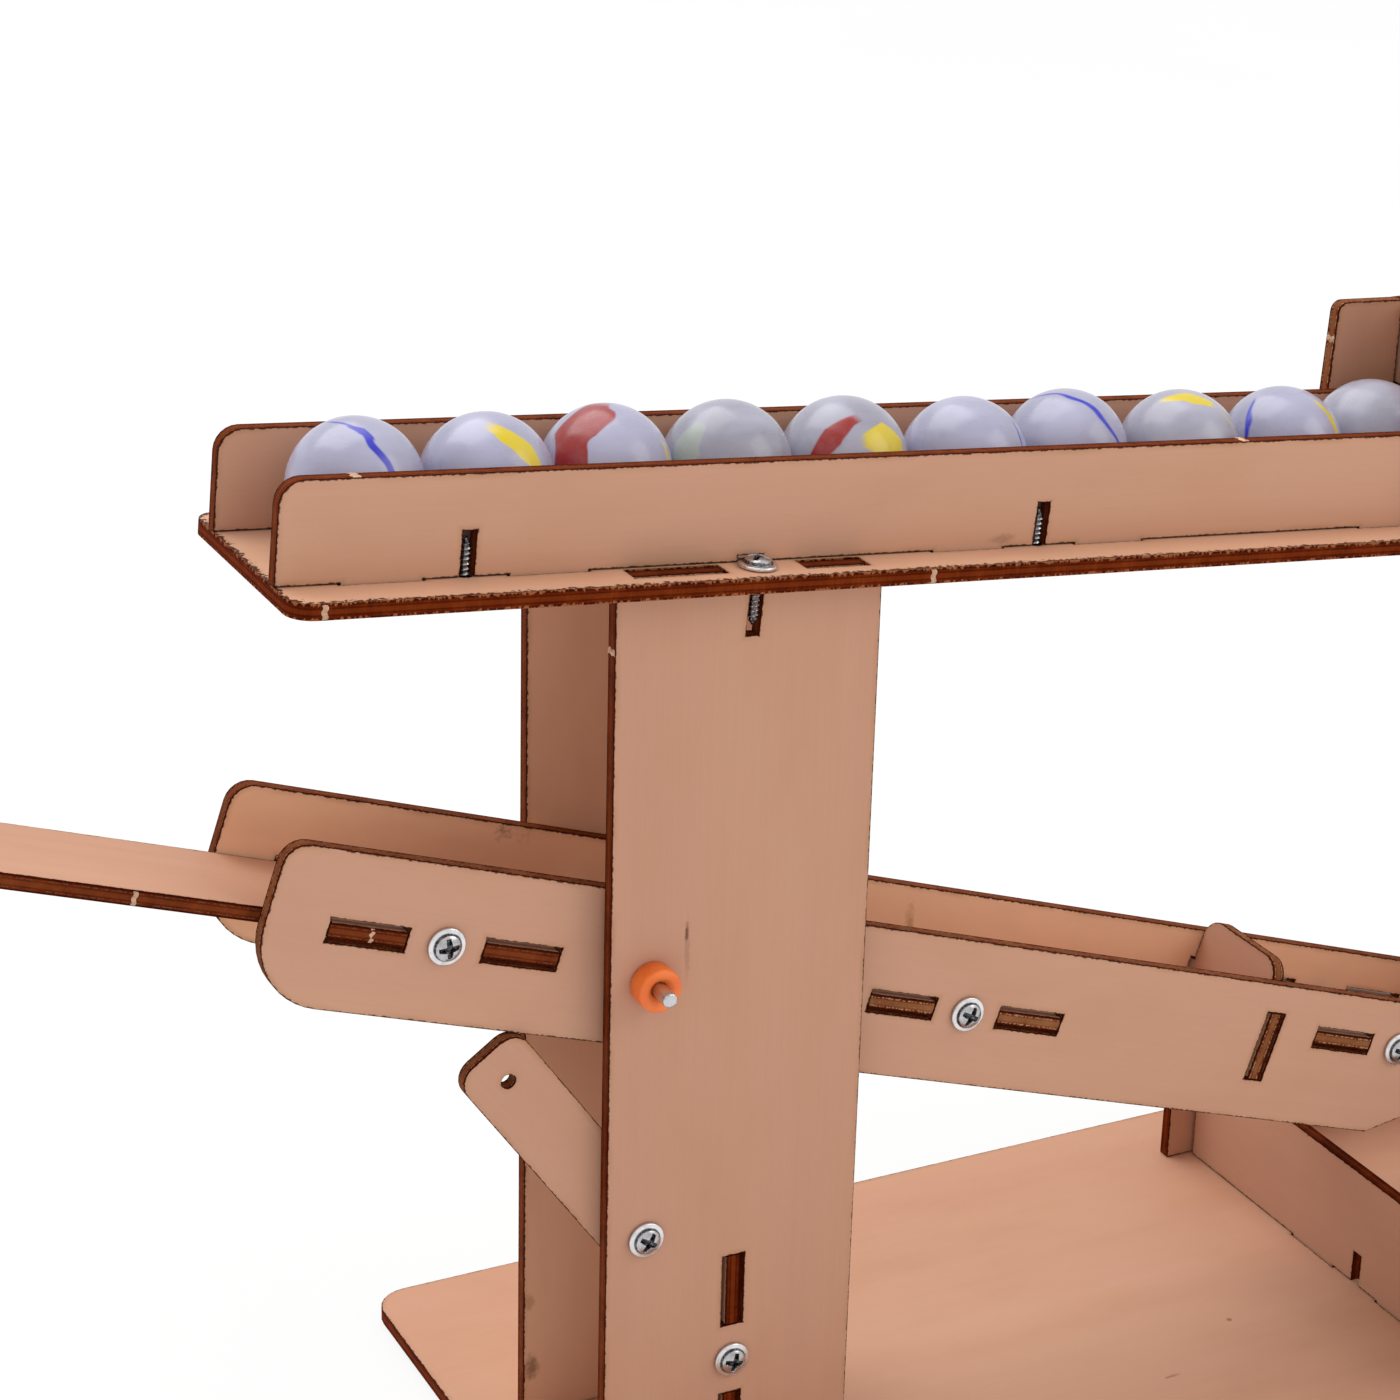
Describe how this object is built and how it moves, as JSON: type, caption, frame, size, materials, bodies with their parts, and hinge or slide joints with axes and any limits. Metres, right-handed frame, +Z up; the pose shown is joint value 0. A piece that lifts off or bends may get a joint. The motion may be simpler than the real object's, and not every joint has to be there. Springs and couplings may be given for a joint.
{
  "type": "marble run",
  "caption": "Ply marble run: a sloping channel of glass marbles on towers, held by a lift gate, over a tilting bucket beam on an axle, with a stop arm and a fenced tray.",
  "frame": {"origin": "underside of the base board, on the centreline, below the outer edge of the left tower", "axes": "+X along the channel and the beam, towards the gate and the tray; +Y to the back; +Z up"},
  "size_m": [0.3526, 0.099, 0.156],
  "materials": {
    "plywood": "matte",
    "steel": "satin",
    "orange_plastic": "satin",
    "marble_glass": "gloss"
  },
  "bodies": {
    "frame": {"base_board": "plywood", "left_front_upright": "plywood", "left_rear_upright": "plywood", "left_brace": "plywood", "right_front_upright": "plywood", "right_rear_upright": "plywood", "right_brace": "plywood", "drop_back_panel": "plywood", "channel_floor": "plywood", "front_rail": "plywood", "rear_rail": "plywood", "tray_left_fence": "plywood", "tray_right_fence": "plywood", "tray_front_fence": "plywood", "tray_rear_fence": "plywood", "front_rail_screw_1": "steel", "front_rail_screw_2": "steel", "front_rail_screw_3": "steel", "left_tower_front_top_screw": "steel", "left_tower_rear_top_screw": "steel", "right_arm_front_screw": "steel", "right_arm_rear_screw": "steel", "left_brace_front_screw": "steel", "left_brace_rear_screw": "steel", "stop_arm_screw": "steel"},
    "beam": {"beam_front_wall": "plywood", "beam_rear_wall": "plywood", "left_plank": "plywood", "right_plank": "plywood", "bucket_floor": "plywood", "bucket_divider": "plywood", "counterweight_1": "plywood", "counterweight_2": "plywood", "counterweight_3": "plywood", "counterweight_screw": "steel", "beam_front_screw_1": "steel", "beam_front_screw_2": "steel", "beam_front_screw_3": "steel", "beam_rear_screw_1": "steel", "beam_rear_screw_2": "steel", "beam_rear_screw_3": "steel", "beam_axle": "steel", "front_bushing": "orange_plastic", "rear_bushing": "orange_plastic", "front_spacer": "orange_plastic", "rear_spacer": "orange_plastic"},
    "stop_arm": {"stop_arm": "plywood"},
    "gate": {"gate_plate": "plywood", "gate_pad_1": "plywood", "gate_pad_2": "plywood"},
    "marble_1": {"marble_1": "marble_glass"},
    "marble_2": {"marble_2": "marble_glass"},
    "marble_3": {"marble_3": "marble_glass"},
    "marble_4": {"marble_4": "marble_glass"},
    "marble_5": {"marble_5": "marble_glass"},
    "marble_6": {"marble_6": "marble_glass"},
    "marble_7": {"marble_7": "marble_glass"},
    "marble_8": {"marble_8": "marble_glass"},
    "marble_9": {"marble_9": "marble_glass"},
    "marble_10": {"marble_10": "marble_glass"}
  },
  "joints": [
    {"name": "beam_tilt", "type": "hinge", "parent": "frame", "child": "beam", "pos_m": [0.0055, 0, 0.0797], "axis": [0, 1, 0], "range_deg": [0, 5.2]},
    {"name": "stop_arm_swing", "type": "hinge", "parent": "frame", "child": "stop_arm", "pos_m": [0.0055, -0.0107, 0.043], "axis": [0, -1, 0], "range_deg": [0, 140]},
    {"name": "gate_lift", "type": "slide", "parent": "frame", "child": "gate", "axis": [0, 0, 1], "range_m": [0, 0.018]},
    {"name": "marble_1_lift", "type": "slide", "parent": "frame", "child": "marble_1", "axis": [0, 0, 1], "range_m": [0, 0.03]},
    {"name": "marble_2_lift", "type": "slide", "parent": "frame", "child": "marble_2", "axis": [0, 0, 1], "range_m": [0, 0.03]},
    {"name": "marble_3_lift", "type": "slide", "parent": "frame", "child": "marble_3", "axis": [0, 0, 1], "range_m": [0, 0.03]},
    {"name": "marble_4_lift", "type": "slide", "parent": "frame", "child": "marble_4", "axis": [0, 0, 1], "range_m": [0, 0.03]},
    {"name": "marble_5_lift", "type": "slide", "parent": "frame", "child": "marble_5", "axis": [0, 0, 1], "range_m": [0, 0.03]},
    {"name": "marble_6_lift", "type": "slide", "parent": "frame", "child": "marble_6", "axis": [0, 0, 1], "range_m": [0, 0.03]},
    {"name": "marble_7_lift", "type": "slide", "parent": "frame", "child": "marble_7", "axis": [0, 0, 1], "range_m": [0, 0.03]},
    {"name": "marble_8_lift", "type": "slide", "parent": "frame", "child": "marble_8", "axis": [0, 0, 1], "range_m": [0, 0.03]},
    {"name": "marble_9_lift", "type": "slide", "parent": "frame", "child": "marble_9", "axis": [0, 0, 1], "range_m": [0, 0.03]},
    {"name": "marble_10_lift", "type": "slide", "parent": "frame", "child": "marble_10", "axis": [0, 0, 1], "range_m": [0, 0.03]}
  ]
}
